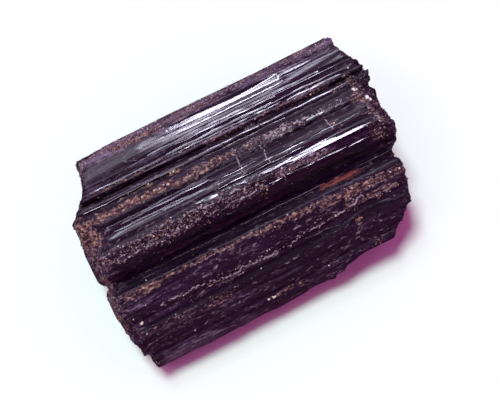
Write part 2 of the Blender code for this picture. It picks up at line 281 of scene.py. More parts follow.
paleStrokes = (
    (0.95, 0.75, (6.3, 3.75), (11.9, 3.7)),          # silvery grains on the step
    (0.7, 0.6, (-0.6, 3.7), (6.2, 3.7)),
    (0.6, 1.0, (-20.0, 13.9), (21.0, 13.9)),
    (0.6, 0.4, (12.5, 3.4), (20.0, 3.3)),
    (0.6, 0.8, (21.2, 6.5), (21.8, -2.5)),           # chipped right rim
    (0.7, 0.9, (-22.6, -2.1), (2.5, -2.2)),
    (0.95, 0.42, (4.8, -2.1), (12.8, -2.2)),
    (0.55, 0.22, (-20.5, 7.9), (-7.0, 7.9)),
    (0.6, 0.22, (-7.0, 7.6), (20.0, 7.5)),
    (0.55, 0.25, (-2.0, 7.1), (18.0, 7.0)),
    # along the ledge: silvery grains, and a painted glint on its edge
    (0.38, 0.3, (-18.3, -9.75), (21.0, -9.6)),
    (0.75, 0.5, (-3.0, -2.2), (2.2, -2.3)),
    (0.6, 0.3, (-9.6, -10.1), (0.5, -10.3)),         # ledge of the front prism: silvery grains, and a painted glint on its edge
    (0.6, 0.35, (-7.6, -10.7), (-5.6, -10.8)),
)
dustAndBounceStrokes = (
    (0.95, 1.4, (-21.0, 13.8), (-12.0, 13.6)),       # dust along the back rim, and painted reflection of the table there
    (0.8, 1.3, (-12.0, 13.7), (21.5, 13.8)),
    (0.5, 1.6, (-24.0, 1.5), (-24.2, -5.0)),
    (0.45, 1.0, (-20.0, 9.0), (-9.0, 8.8)),
    (0.6, 0.35, (4.6, -2.1), (14.0, -2.2)),
    (0.7, 0.35, (-2.0, 7.1), (18.0, 7.0)),
    (0.28, 0.8, (-21.5, -8.8), (-14.5, -9.1)),
    (0.42, 0.7, (-22.0, -12.7), (-15.0, -12.8)),
    (0.3, 0.6, (-15.0, -12.8), (-9.0, -12.9)),
    (0.20, 0.6, (-12.0, -12.9), (-6.0, -12.9)),
    (0.25, 1.0, (10.0, -8.2), (22.0, -8.6)),
    # the bottom strip by the table: painted bounce light from it, and dust
    (0.75, 0.7, (-21.0, -15.9), (-13.0, -15.9)),
    (0.5, 0.5, (-13.0, -15.9), (-6.0, -15.9)),
    (0.2, 0.3, (-6.0, -15.9), (1.0, -15.9)),
)
# Narrow hollows: (depth, half width, start, end)
# the skin's material also paints shade into these hollows by their depth
hollowStrokes = (
    (0.28, 0.5, (-4.4, 1.75), (19.8, 1.7)),          # dark gaps between the bright ribs
    (0.22, 0.32, (-22.0, 2.35), (-5.0, 2.3)),
    (0.50, 0.7, (-20.5, -11.6), (22.0, -11.4)),      # under the ledge
    (0.40, 0.38, (-20.0, 4.95), (20.0, 4.85)),
    (0.22, 0.45, (-4.0, -13.1), (10.0, -13.2)),
    (0.20, 0.25, (-21.5, 8.75), (21.0, 8.75)),
)
finishStrokes = {
    "polish": polishStrokes, "etched": etchedStrokes, "crust": crustStrokes,
    "rust": rustStrokes, "pale": paleStrokes, "dust_and_bounce": dustAndBounceStrokes,
}


def readMesh(mesh):
    # points, their normals, and the two ends of every edge
    points = np.zeros(len(mesh.vertices) * 3)
    mesh.vertices.foreach_get("co", points)
    normals = np.zeros(len(mesh.vertices) * 3)
    mesh.vertex_normals.foreach_get("vector", normals)
    ends = np.zeros(len(mesh.edges) * 2, dtype=np.int32)
    mesh.edges.foreach_get("vertices", ends)
    return points.reshape(-1, 3), normals.reshape(-1, 3), ends.reshape(-1, 2)


def meshPoints(mesh):
    return readMesh(mesh)[0]


facetPlaces = {
    "margin": 0.3,              # how much wider than its stroke a rough place is
    "cover": 0.2,               # and how strong the stroke has to be
    "behind": 14.0,             # y where the back begins
    "under": -0.5,              # normal's z of faces that look down
    "endwise": 0.5,             # normal's x, either way, of the broken ends
}


def edgeLengths(mesh):
    # every edge's length against what its place allows; above 1 it is split
    points, normals, ends = readMesh(mesh)
    spans = points[ends[:, 0]] - points[ends[:, 1]]
    middles = (points[ends[:, 0]] + points[ends[:, 1]]) / 2.0
    facing = (normals[ends[:, 0]] + normals[ends[:, 1]]) / 2.0
    cover = strokeField(middles, etchedStrokes + crustStrokes, facetPlaces["margin"])
    rough = cover > facetPlaces["cover"]
    back = (middles[:, 1] > facetPlaces["behind"]) | (facing[:, 2] < facetPlaces["under"])
    broken = np.abs(facing[:, 0]) > facetPlaces["endwise"]
    allowed = np.tile(crystal["facets"]["striated"], (len(ends), 1))
    for kind, chosen in (("back", back), ("rough", rough), ("break", broken & ~rough)):
        allowed[chosen] = crystal["facets"][kind]
    across = np.hypot(spans[:, 1], spans[:, 2]) / allowed[:, 0]
    return np.hypot(across, spans[:, 0] / allowed[:, 1])


def splitFacets(bm, mesh):
    # in each sweep every facet that is still too long is parted across its longest edge
    for sweep in range(crystal["sweeps"]):
        bm.to_mesh(mesh)
        lengths = edgeLengths(mesh)
        around = np.zeros(len(mesh.loops), dtype=np.int32)
        mesh.loops.foreach_get("edge_index", around)
        around = around.reshape(-1, 3)
        longest = around[np.arange(len(around)), lengths[around].argmax(axis=1)]
        chosen = np.unique(longest[lengths[longest] > 1.0])
        if not len(chosen) or len(mesh.polygons) > crystal["mostFacets"]:
            break
        bm.edges.ensure_lookup_table()
        parted = [bm.edges[index] for index in chosen.tolist()]
        bmesh.ops.subdivide_edges(bm, edges=parted, cuts=1, use_single_edge=True)
        bmesh.ops.triangulate(bm, faces=[face for face in bm.faces if len(face.verts) > 3])
    bm.to_mesh(mesh)
    print("crystal skin:", len(mesh.polygons), "facets after", sweep, "sweeps")


def finishes(points, normals):
    # the share of each finish at every point
    spread = finishSpread
    wobble = layered(points, spread["wobble"])
    streaks = layered(points, spread["streaks"])
    fromAbove = ramp(normals[:, 2], *spread["fromAbove"])
    parts = {}
    for name, strokes in finishStrokes.items():
        edges = streaks if name == "polish" else wobble
        parts[name] = strokeField(points, strokes, edges) * fromAbove
    breaks = ramp(np.abs(normals[:, 0]), *spread["breaks"])
    outer = ramp(points[:, 1], *spread["back"]) + ramp(-points[:, 2], *spread["flanks"])
    outer = np.clip(outer, 0.0, 1.0)
    patches = layered(points, spread["patches"]) + spread["patchWobble"] * wobble
    patches = ramp(patches, *spread["patchEdge"])
    # on the back and the low flanks the mauve skin's patches are partly painted bounce light from the
    # table
    outerPatches = spread["outerPatches"] * patches * outer
    crustPatches = spread["crustPatches"] * patches * np.maximum(outer, breaks)
    parts["crust"] = np.maximum(parts["crust"], crustPatches)
    for name, strength in (("etched", spread["etchedBreaks"]), ("dust_and_bounce", spread["dustAndBounceBreaks"])):
        parts[name] = np.maximum(parts[name], np.maximum(strength * breaks, outerPatches))
    parts["polish"] *= (1.0 - parts["etched"]) * (1.0 - breaks)
    parts["breaks"] = breaks
    # the hollows' depth, which the skin's material also uses to paint shade into them
    parts["hollow"] = hollowField(points, hollowStrokes) * ramp(normals[:, 2], *spread["hollowed"])
    return parts


def grains(points, kind, size, seed):
    # grains of one kind, longer along the crystal than across it
    length = size * crystal["stretch"][kind]
    return grainField(points, (length, size, size), seed)


def reliefOf(points, parts):
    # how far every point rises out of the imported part's face
    long = 1.0 - parts["breaks"]
    rough = 1.0 - (1.0 - crystal["polishedShare"]) * parts["polish"]
    edge = crystal["terraceEdge"]
    height = -parts["hollow"]
    for rise, size, seed in crystal["striae"]:
        height += rise * long * rough * ridgeField(points, size, seed)
    for rise, size, seed in crystal["terraces"]:
        height += rise * long * rough * ramp(noiseField(points, size, seed), -edge, edge)
    for rise, size, seed in crystal["hairs"]:
        height += rise * long * rough * noiseField(points, size, seed)
    for rise, size, seed in crystal["etched"]:
        height += rise * parts["etched"] * (0.45 - grains(points, "etched", size, seed))
    rise, size, seed = crystal["crust"]
    parts["crumb"] = 1.0 - grains(points, "crust", size, seed)
    height += rise * parts["crust"] * (parts["crumb"] - 0.5)
    for rise, size, seed in crystal["breakLumps"]:
        height += rise * parts["breaks"] * ridgeField(points, (size, size, size), seed)
    return height


def crests(points, normals, ends):
    # how far each point stands out above its neighbours, against the distance to them
    total = np.zeros_like(points)
    lengths = np.zeros(len(points))
    counts = np.zeros(len(points))
    gaps = np.linalg.norm(points[ends[:, 0]] - points[ends[:, 1]], axis=1)
    for near, far in ((0, 1), (1, 0)):
        np.add.at(total, ends[:, near], points[ends[:, far]])
        np.add.at(lengths, ends[:, near], gaps)
        np.add.at(counts, ends[:, near], 1.0)
    out = ((points - total / counts[:, None]) * normals).sum(axis=1)
    return np.clip(out / (lengths / counts), 0.0, 1.0)


def placePoints(mesh, points):
    mesh.vertices.foreach_set("co", points.ravel())
    mesh.update()


def crystalSkin():
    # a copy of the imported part's mesh, merged, split finely and given its relief
    mesh = bpy.data.meshes.new(crystal["name"])
    bm = bmesh.new()
    bm.from_mesh(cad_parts[crystal["node"]].data)
    bmesh.ops.remove_doubles(bm, verts=bm.verts, dist=crystal["merge"] * metre)
    bmesh.ops.scale(bm, vec=(1.0 / metre,) * 3, verts=bm.verts)
    splitFacets(bm, mesh)
    bm.free()
    points, normals, ends = readMesh(mesh)
    parts = finishes(points, normals)
    lively = ramp(points[:, 2], *crystal["foot"])
    calm = lively * (1.0 - parts["breaks"]) * (1.0 - crystal["calm"] * parts["polish"])
    reach, size, seed = crystal["wander"]
    for axis in (1, 2):
        points[:, axis] += reach * calm * noiseField(points, size, seed * axis)
    points += normals * (lively * reliefOf(points, parts))[:, None]
    low, high = np.array(cadBounds) / metre
    points = np.clip(points, low, high)
    placePoints(mesh, points)
    parts["crest"] = crests(points, readMesh(mesh)[1], ends)
    return mesh, points, parts


# A Mix node's colour sockets by number: the share, both colours, and the result
mixShare, mixFirst, mixSecond, mixResult = 0, 6, 7, 2


def feed(tree, socket, value):
    # a socket is wired to this one; a number or a colour is set on it
    if isinstance(value, bpy.types.NodeSocket):
        tree.links.new(value, socket)
    else:
        socket.default_value = value


def mixColours(tree, share, first, second):
    made = tree.nodes.new("ShaderNodeMix")
    made.data_type = "RGBA"
    for socket, value in ((mixShare, share), (mixFirst, first), (mixSecond, second)):
        feed(tree, made.inputs[socket], value)
    return made.outputs[mixResult]


socketNames = {
    "colour": "Base Color", "roughness": "Roughness", "normal": "Normal", "ior": "IOR",
    "gloss": "Specular IOR Level",
}


class Wiring:
    # adds nodes to a material's tree and wires them as it goes
    def __init__(self, name):
        self.material = bpy.data.materials.new(name)
        self.material.use_nodes = True
        self.tree = self.material.node_tree
        self.shader = self.tree.nodes["Principled BSDF"]

    def shade(self, **values):
        # a colour, roughness and so on, set or wired on the shader's own sockets
        for name, value in values.items():
            feed(self.tree, self.shader.inputs[socketNames[name]], value)

    def node(self, kind, output, inputs, **settings):
        made = self.tree.nodes.new(kind)
        for key, value in settings.items():
            setattr(made, key, value)
        for key, value in inputs.items():
            feed(self.tree, made.inputs[key], value)
        return made.outputs[output]

    def attribute(self, name):
        return self.node("ShaderNodeAttribute", "Fac", {}, attribute_name=name)

    def math(self, operation, first, second):
        return self.node("ShaderNodeMath", 0, {0: first, 1: second}, operation=operation)

    def span(self, value, low, high, start=0.0, end=1.0):
        inputs = {"Value": value, "From Min": low, "From Max": high, "To Min": start, "To Max": end}
        return self.node("ShaderNodeMapRange", "Result", inputs, interpolation_type="SMOOTHSTEP")

    def total(self, fields, weights):
        # some fields added up, each by its weight
        result = None
        for name, weight in weights.items():
            term = self.math("MULTIPLY", fields[name], weight)
            result = term if result is None else self.math("ADD", result, term)
        return result

    def noise(self, size, detail, roughness, offset):
        # size is the grain in mm along x, y and z
        place = self.node("ShaderNodeTexCoord", "Object", {})
        scale = [1.0 / (metre * step) for step in size]
        inputs = {"Vector": place, "Location": (offset,) * 3, "Scale": scale}
        stretched = self.node("ShaderNodeMapping", "Vector", inputs)
        inputs = {"Vector": stretched, "Scale": 1.0, "Detail": detail, "Roughness": roughness}
        return self.node("ShaderNodeTexNoise", "Fac", inputs)

    def mix(self, share, first, second):
        return mixColours(self.tree, share, first, second)

    def bump(self, height, depth, strength, normal=None):
        # depth in mm
        inputs = {"Height": height, "Distance": depth * metre, "Strength": strength}
        if normal:
            inputs["Normal"] = normal
        return self.node("ShaderNodeBump", "Normal", inputs)


# What the skin's material reads at each point: its finishes, how far it stands out as a crest, the
# lumps of its crust as crumbs, and the hollows, into which it paints shade
schorlShares = ("crust", "rust", "etched", "polish", "pale", "crest", "dust_and_bounce", "crumb", "hollow")
schorlGrains = {
    # grain in mm along x, y and z, detail, roughness, offset
    "hair": ((6.0, 0.24, 0.24), 4.0, 0.6, 0.0),
    "streak": ((9.0, 0.9, 0.9), 3.0, 0.55, 7.0),
    "grit": ((0.26, 0.18, 0.18), 3.0, 0.7, 3.0),
    "fleck": ((0.9, 0.3, 0.3), 4.0, 0.75, 11.0),
    "speck": ((0.8, 0.5, 0.5), 5.0, 0.75, 5.0),
    "clump": ((2.2, 1.0, 1.0), 2.0, 0.55, 13.0),
    "knots": ((0.62, 0.42, 0.42), 2.0, 0.6, 17.0),
    "seams": ((9.0, 2.1, 2.1), 3.0, 0.6, 23.0),
}
schorlLook = {
    "black": (0.0075, 0.0006, 0.0095, 1.0),
    "violet": (0.016, 0.0035, 0.020, 1.0),
    "pore": (0.013, 0.003, 0.014, 1.0),
    "brown": (0.12, 0.050, 0.058, 1.0),
    "orange": (0.40, 0.235, 0.195, 1.0),
    "cream": (0.66, 0.50, 0.33, 1.0),
    "rust": (0.215, 0.047, 0.044, 1.0),
    "pale": (0.52, 0.40, 0.49, 1.0),
    # the mauve skin: dust, and in places painted bounce light from the table
    "dust_and_bounce": (0.175, 0.112, 0.200, 1.0),
    "ior": 1.64,
    "glassy": 0.17,             # roughness of glassy faces
    "plain": 0.58,              # of the other faces
    "dull": 0.8,                # of crusts, stains and hollows
    "dust": 0.25,               # strength of the fine dust all over
    "lace": 0.8,
    "ragged": 2.4,              # how much specks break the edges of crusts and stains
    "lines": 0.02,              # depth of the finest lines, in mm
    "grit": 0.06,               # and of the grit on etched and crusted skin
}
schorlSpans = {
    # the values between which each of these goes from none to full
    "hollow": (0.04, 0.24), "violet": (0.35, 0.7), "streaks": (0.42, 0.66), "dust_and_bounce": (1.58, 2.05),
    "dust": (0.57, 0.70), "lace": (1.72, 2.02), "seam": (0.0, 0.016), "seamRuns": (0.47, 0.60),
    "crust": (0.50, 0.72), "rust": (0.55, 0.8), "rusty": (0.62, 0.84),
    "brown": (0.78, 0.87), "orange": (0.87, 1.0), "cream": (1.03, 1.15),
}
schorlWeights = {
    "patchy": {"fleck": 0.65, "hair": 0.35},
    "dust_and_bounce": {"dust_and_bounce_streaked": 0.55, "patchy": 2.6},
    "edges": {"pale": 0.85, "crest": 0.6},
    "lace": {"edges": 0.4, "grit": 1.2, "knots": 1.6},
    "lump": {"crumb": 0.3, "grit": 0.55, "clump": 0.3, "knots": 0.6},
}


def stoneUnderDustAndBounce(w, fields):
    # black and violet streaks under a patchy mauve skin, which is dust and, along the back rim and the
    # low faces, painted bounce light from the table
    look, spans = schorlLook, schorlSpans
    stone = w.mix(w.span(fields["streak"], *spans["violet"]), look["black"], look["violet"])
    fields["dust_and_bounce_streaked"] = w.math("ADD", fields["dust_and_bounce"], w.span(fields["streak"], *spans["streaks"], 0.0, 0.5))
    fields["patchy"] = w.total(fields, schorlWeights["patchy"])
    dust_and_bounce = w.span(w.total(fields, schorlWeights["dust_and_bounce"]), *spans["dust_and_bounce"])
    # painted shade: the pale skin is left out of the hollows
    dust_and_bounce = w.math("MULTIPLY", dust_and_bounce, w.span(fields["hollow"], 0.0, 1.0, 0.85, 0.0))
    colour = w.mix(dust_and_bounce, stone, look["dust_and_bounce"])
    dust = w.math("MULTIPLY", w.span(fields["grit"], *spans["dust"]), look["dust"])
    return w.mix(dust, colour, look["dust_and_bounce"])


def laced(w, fields, colour):
    # silvery lace on grains and crests, and broken pale seams along the crystal
    look, spans = schorlLook, schorlSpans
    fields["edges"] = w.total(fields, schorlWeights["edges"])
    lace = w.span(w.total(fields, schorlWeights["lace"]), *spans["lace"])
    colour = w.mix(w.math("MULTIPLY", lace, look["lace"]), colour, look["pale"])
    offSeam = w.math("ABSOLUTE", w.math("SUBTRACT", fields["seams"], 0.5), 0.0)
    seam = w.span(offSeam, *spans["seam"], 1.0, 0.0)
    seam = w.math("MULTIPLY", seam, w.span(fields["speck"], *spans["seamRuns"], 0.0, 0.5))
    # pale seams are left off glassy faces, and off hollows as painted shade
    bare = w.math("MAXIMUM", fields["polish"], fields["hollow"])
    seam = w.math("MULTIPLY", seam, w.span(bare, 0.0, 0.4, 1.0, 0.0))
    return w.mix(seam, colour, look["pale"])


def ragged(w, fields, name):
    # a finish's share with its edges broken up by specks
    uneven = w.math("MULTIPLY", w.math("SUBTRACT", fields["speck"], 0.5), schorlLook["ragged"])
    return w.span(w.math("ADD", fields[name], uneven), *schorlSpans[name])


def crusted(w, fields, colour):
    # crusts of brown, orange and cream lumps, and rusty stains; also gives where both are
    look, spans = schorlLook, schorlSpans
    crust, rust = ragged(w, fields, "crust"), ragged(w, fields, "rust")
    lump = w.total(fields, schorlWeights["lump"])
    browns = look["pore"]
    for tone in ("brown", "orange", "cream"):
        browns = w.mix(w.span(lump, *spans[tone]), browns, look[tone])
    rusty = w.mix(w.span(lump, *spans["rusty"]), look["pore"], look["rust"])
    colour = w.mix(rust, w.mix(crust, colour, browns), rusty)
    return colour, w.math("MAXIMUM", crust, rust)


def skinRoughness(w, fields, dull):
    look = schorlLook
    smooth = w.math("SUBTRACT", fields["polish"], w.math("MULTIPLY", fields["etched"], 0.6))
    rough = w.span(smooth, -0.3, 1.0, look["plain"], look["glassy"])
    hairy = w.math("MULTIPLY", w.math("SUBTRACT", fields["hair"], 0.5), 0.15)
    dull = w.math("MULTIPLY", w.math("MAXIMUM", dull, fields["hollow"]), look["dull"])
    return w.math("MAXIMUM", w.math("ADD", rough, hairy), dull)


def skinRelief(w, fields, dull):
    # the finest lines along the crystal, fainter on glassy faces, and grit on rough skin
    lines = w.span(fields["polish"], 0.0, 1.0, 0.7, 0.35)
    lines = w.bump(fields["hair"], schorlLook["lines"], lines)
    gritty = w.math("ADD", w.math("MULTIPLY", fields["etched"], 0.7), dull)
    return w.bump(fields["grit"], schorlLook["grit"], w.math("MINIMUM", gritty, 1.0), lines)


def schorl():
    w = Wiring("schorl")
    fields = {name: w.attribute(name) for name in schorlShares}
    fields.update({name: w.noise(*grain) for name, grain in schorlGrains.items()})
    fields["hollow"] = w.span(fields["hollow"], *schorlSpans["hollow"])
    colour = laced(w, fields, stoneUnderDustAndBounce(w, fields))
    colour, dull = crusted(w, fields, colour)
    roughness, relief = skinRoughness(w, fields, dull), skinRelief(w, fields, dull)
    w.shade(colour=colour, roughness=roughness, normal=relief, ior=schorlLook["ior"])
    return w.material


glossyLook = {
    "hair": ((3.0, 0.3, 0.3), 3.0, 0.6, 2.0),       # as in schorlGrains
    "hairSpan": (0.35, 0.65),
    "roughness": (0.16, 0.36),
}


def glossySchorl():
    # the glassy ribs: the same stone with a clean skin
    w = Wiring("glossy schorl")
    hair = w.noise(*glossyLook["hair"])
    roughness = w.span(hair, *glossyLook["hairSpan"], *glossyLook["roughness"])
    w.shade(colour=schorlLook["black"], roughness=roughness, ior=schorlLook["ior"])
    return w.material


crumbRoughness = 0.6
crumbTints = (
    # tint and its colour: dark and red brown, orange, mauve, lavender, cream, white
    (0.0, (0.05, 0.015, 0.03, 1.0)),
    (0.18, (0.13, 0.045, 0.035, 1.0)),
    (0.36, (0.28, 0.155, 0.13, 1.0)),
    (0.50, (0.22, 0.12, 0.15, 1.0)),
    (0.64, (0.42, 0.31, 0.40, 1.0)),
    (0.80, (0.62, 0.49, 0.42, 1.0)),
    (1.0, (0.93, 0.90, 0.88, 1.0)),
)


def crumbDust():
    # loose crumbs, and pale veins with their painted glints, take their colour from their tint
    w = Wiring("crumbs")
    tones = w.tree.nodes.new("ShaderNodeValToRGB")
    for place, colour in crumbTints[1:-1]:
        tones.color_ramp.elements.new(place)
    for element, (place, colour) in zip(tones.color_ramp.elements, crumbTints):
        element.position = place
        element.color = colour
    feed(w.tree, tones.inputs["Fac"], w.attribute("tint"))
    w.shade(colour=tones.outputs["Color"], roughness=crumbRoughness)
    return w.material


def dress(name, mesh, material, points, parts):
    # makes a finished mesh an object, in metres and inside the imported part's box
    placePoints(mesh, np.clip(points * metre, *np.array(cadBounds)))
    for key, values in parts.items():
        layer = mesh.attributes.new(key, "FLOAT", "POINT")
        layer.data.foreach_set("value", np.asarray(values, dtype=np.float32))
    mesh.materials.append(material)
    mesh.shade_smooth()
    piece = bpy.data.objects.new(name, mesh)
    bpy.context.scene.collection.objects.link(piece)
    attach(piece, "root")
    return piece


plumbHeight = 40.0              # well above the crystal
skinMesh, skinPoints, skinParts = crystalSkin()
skinFaces = [tuple(face.vertices) for face in skinMesh.polygons]
surface = BVHTree.FromPolygons(skinPoints.tolist(), skinFaces)
schorlParts = {name: skinParts[name] for name in schorlShares}
crystalPiece = dress(crystal["name"], skinMesh, schorl(), skinPoints, schorlParts)
skinMesh.set_sharp_from_angle(angle=math.radians(crystal["sharpAngle"]))
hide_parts(crystal["node"])
print("crystal is dressed")


def plumb(x, y):
    # where a plumb line from above meets the crystal, and which way the surface faces there
    return surface.ray_cast(Vector((x, y, plumbHeight)), Vector((0.0, 0.0, -1.0)))[:2]


ribs = {
    "name": "glossy_ribs",
    "seed": 4,
    "step": 0.8,                # between cross-sections
    "height": 0.16,
    "sunk": 0.10,
    "wander": (0.05, 5.0),
    "tilt": 1.7,                # of the flat tops, backwards, in degrees
    "lean": 0.6,                # how far each length may lean either way
    "reach": 0.12,              # how far to both sides the highest spot is looked for
    "keep": 0.6,                # share of the last length's level that the next one keeps
    "ends": (0.55, 4.0),        # width at the ends, and how soon it grows to the full width
    "uneven": 0.12,
    "foot": 1.5,                # width of the underside
    "sharpAngle": 35.0,
}
wholeTurn = 6.283               # radians
ribLines = (
    # start x and y, end x and y, width
    ((-10.4, 9.82), (18.0, 9.78), 0.36),
    ((-6.0, 9.33), (10.5, 9.30), 0.16),
    ((-8.0, 8.43), (9.4, 8.38), 0.26),
    ((11.0, 8.38), (19.5, 8.20), 0.18),
    ((-20.5, 8.12), (-9.0, 8.10), 0.12),
    ((-8.0, 7.82), (10.7, 7.78), 0.20),
    ((11.5, 7.48), (20.5, 7.42), 0.22),
    ((-5.5, 5.98), (6.0, 5.88), 0.11),
    ((6.3, 5.85), (20.4, 5.70), 0.12),
    ((-22.6, 5.62), (-6.0, 5.75), 0.10),
    ((-4.0, 5.30), (10.0, 5.30), 0.06),
    ((12.5, 3.22), (15.2, 3.18), 0.30),
    ((-21.6, 1.58), (-4.4, 1.52), 0.22),
    ((-20.0, 0.95), (-8.0, 0.86), 0.22),
    ((-12.4, 0.62), (-4.3, 0.60), 0.30),
    ((-3.6, 0.95), (3.0, 0.92), 0.07),
    ((-4.0, 0.42), (11.0, 0.36), 0.09),
    ((11.4, 0.50), (19.6, 0.42), 0.08),
    ((-3.8, -0.22), (10.4, -0.26), 0.07),
    ((-6.5, -0.95), (-4.25, -0.98), 0.34),
    ((2.6, -1.02), (5.0, -1.05), 0.32),
    ((3.3, -2.62), (5.4, -2.66), 0.16),
    ((6.2, -2.66), (10.8, -2.72), 0.16),
    ((11.2, -2.72), (15.8, -2.80), 0.18),
    ((16.2, -2.95), (19.6, -3.02), 0.14),
)


def layRib(bar, start, end, width):
    # moves a bar's cross-sections one by one onto the crystal, with a flat and nearly level top
    length = end[0] - start[0]
    drift = random.uniform(0.0, 50.0)
    reach, wave = ribs["wander"]
    narrow, taper = ribs["ends"]
    level = None
    for x in sorted({round(vertex.co.x, 4) for vertex in bar.verts}):
        share = (x - start[0]) / length
        y = start[1] + (end[1] - start[1]) * share + reach * math.sin(x / wave * wholeTurn + drift)
        hits = [plumb(x, y + side)[0] for side in (-ribs["reach"], 0.0, ribs["reach"])]
        top = max([hit.z for hit in hits if hit], default=level)
        level = top if level is None else ribs["keep"] * level + (1.0 - ribs["keep"]) * top
        wide = narrow + (1.0 - narrow) * min(1.0, taper * share, taper * (1.0 - share))
        wide += random.uniform(-ribs["uneven"], ribs["uneven"])
        lean = math.radians(random.uniform(-1.0, 1.0) * ribs["lean"] + ribs["tilt"])
        for vertex in bar.verts:
            if abs(vertex.co.x - x) < 0.001 and not vertex.tag:
                vertex.tag = True
                across = vertex.co.y * width * wide * (1.0 if vertex.co.z > 0.0 else ribs["foot"])
                above = (vertex.co.z + 0.5) * ribs["height"] - ribs["sunk"]
                vertex.co = (x, y + across, level + above - across * math.tan(lean))


def glassyRibs():
    # every rib is a cube drawn out and cut into lengths, then laid on the crystal
    random.seed(ribs["seed"])
    bm = bmesh.new()
    barMesh = bpy.data.meshes.new("bar")
    for start, end, width in ribLines:
        length = end[0] - start[0]
        middle = ((start[0] + end[0]) / 2.0, 0.0, 0.0)
        place = Matrix.Translation(middle) @ Matrix.Diagonal((length, 1.0, 1.0, 1.0))
        bar = bmesh.new()
        bmesh.ops.create_cube(bar, size=1.0, matrix=place)
        along = [edge for edge in bar.edges
                 if abs(edge.verts[0].co.x - edge.verts[1].co.x) > 0.5 * length]
        bmesh.ops.subdivide_edges(bar, edges=along, cuts=max(2, round(length / ribs["step"])))
        layRib(bar, start, end, width)
        bar.to_mesh(barMesh)
        bar.free()
        bm.from_mesh(barMesh)
    bpy.data.meshes.remove(barMesh)
    mesh = bpy.data.meshes.new(ribs["name"])
    bm.to_mesh(mesh)
    bm.free()
    return mesh


crumbs = {
    "name": "crumbs_and_grains",
    "seed": 21,
    # zone: how many, radius range in mm, tint range
    "zones": {
        "crust": (1800, (0.05, 0.15), (0.0, 0.66)),
        "etched": (2300, (0.05, 0.13), (0.0, 0.72)),
        "pale": (1500, (0.06, 0.17), (0.1, 0.78)),
        "dust_and_bounce": (800, (0.04, 0.08), (0.0, 0.66)),
        "all": (900, (0.04, 0.09), (0.0, 0.66)),
    },
    "sunk": 0.35,               # share of a crumb that is under the skin
    "spin": 6.28,               # radians, how far a crumb is turned about each axis at most
    "squash": (0.65, 1.3),      # its size on each axis against its radius
    "cover": 0.25,              # crumbs lie only where the finish is stronger than this
    "lowest": 1.0,              # and this high above the table
    "lot": 150,                 # how many are made at a time
}
namedGrains = (
    # x, y, radius, tint
    (20.9, 4.2, 0.32, 0.98), (21.3, 4.0, 0.18, 0.92), (22.2, 2.5, 0.40, 1.0), (22.6, 2.2, 0.24, 0.95),
    (-20.4, -8.9, 0.12, 0.80), (-22.9, -9.8, 0.12, 0.85), (-2.5, -11.2, 0.10, 0.95),
    (7.3, -14.7, 0.13, 0.98), (-15.3, -14.4, 0.12, 0.90), (-18.7, -5.9, 0.11, 0.95),
    (-12.3, 5.5, 0.20, 0.80), (-8.2, 5.5, 0.22, 0.78), (-8.7, 5.5, 0.16, 0.80),
    (-14.0, 3.9, 0.22, 0.78), (-12.0, 4.0, 0.24, 0.80), (-11.2, 3.9, 0.2, 0.74),
    (-9.8, 3.9, 0.24, 0.78), (-10.5, 4.2, 0.16, 0.80), (-22.0, -10.6, 0.26, 0.84),
    (10.8, -9.7, 0.16, 0.74), (17.2, -8.3, 0.16, 0.84), (20.9, -7.9, 0.18, 0.84),
    (22.4, -8.0, 0.16, 0.82), (14.6, -7.5, 0.13, 0.84), (11.8, -7.3, 0.14, 0.82),
    (1.7, -7.5, 0.12, 0.82), (-0.5, -7.3, 0.14, 0.84), (15.7, 0.8, 0.18, 0.80),
    (20.5, 2.9, 0.20, 0.36), (19.1, 5.4, 0.16, 0.34), (2.2, -15.0, 0.18, 0.38),
    (-11.2, -11.6, 0.16, 0.34), (16.0, -14.7, 0.16, 0.34), (0.4, -14.7, 0.14, 0.36),
    (21.4, -9.7, 0.18, 0.36), (14.0, -11.4, 0.26, 0.30), (-11.8, -0.9, 0.14, 0.76),
    (21.8, -1.9, 0.14, 0.86), (16.3, 9.4, 0.11, 0.90), (22.0, 7.8, 0.14, 0.90),
)
skinCorners = skinPoints[np.array(skinFaces)]
skinParts["all"] = np.ones(len(skinPoints))


def crumbPlaces(rng, zone, count):
    # points scattered over the skin, as densely as the zone's finish is strong
    share = skinParts[zone][np.array(skinFaces)].mean(axis=1)
    sides = np.cross(skinCorners[:, 1] - skinCorners[:, 0], skinCorners[:, 2] - skinCorners[:, 0])
    area = np.linalg.norm(sides, axis=1)
    above = skinCorners[:, :, 2].min(axis=1) > crumbs["lowest"]
    chances = area * np.maximum(share - crumbs["cover"], 0.0) * above
    faces = rng.choice(len(chances), size=count, p=chances / chances.sum())
    first, second = rng.random((2, count))
    fold = first + second > 1.0
    first, second = np.where(fold, 1.0 - first, first), np.where(fold, 1.0 - second, second)
    at = skinCorners[faces]
    places = at[:, 0] + first[:, None] * (at[:, 1] - at[:, 0]) + second[:, None] * (at[:, 2] - at[:, 0])
    return places.tolist(), (sides[faces] / area[faces][:, None]).tolist()


def crumb(bm, place, normal, radius, rng):
    # a small faceted lump, partly sunk; gives the number of its points
    turn = Euler(rng.uniform(0.0, crumbs["spin"], 3).tolist()).to_matrix().to_4x4()
    shape = Matrix.Diagonal((*(radius * rng.uniform(*crumbs["squash"], 3)).tolist(), 1.0))
    sunk = Vector(place) + Vector(normal) * radius * (1.0 - 2.0 * crumbs["sunk"])
    place = Matrix.Translation(sunk) @ turn @ shape
    made = bmesh.ops.create_icosphere(bm, subdivisions=1, radius=1.0, matrix=place)
    return len(made["verts"])


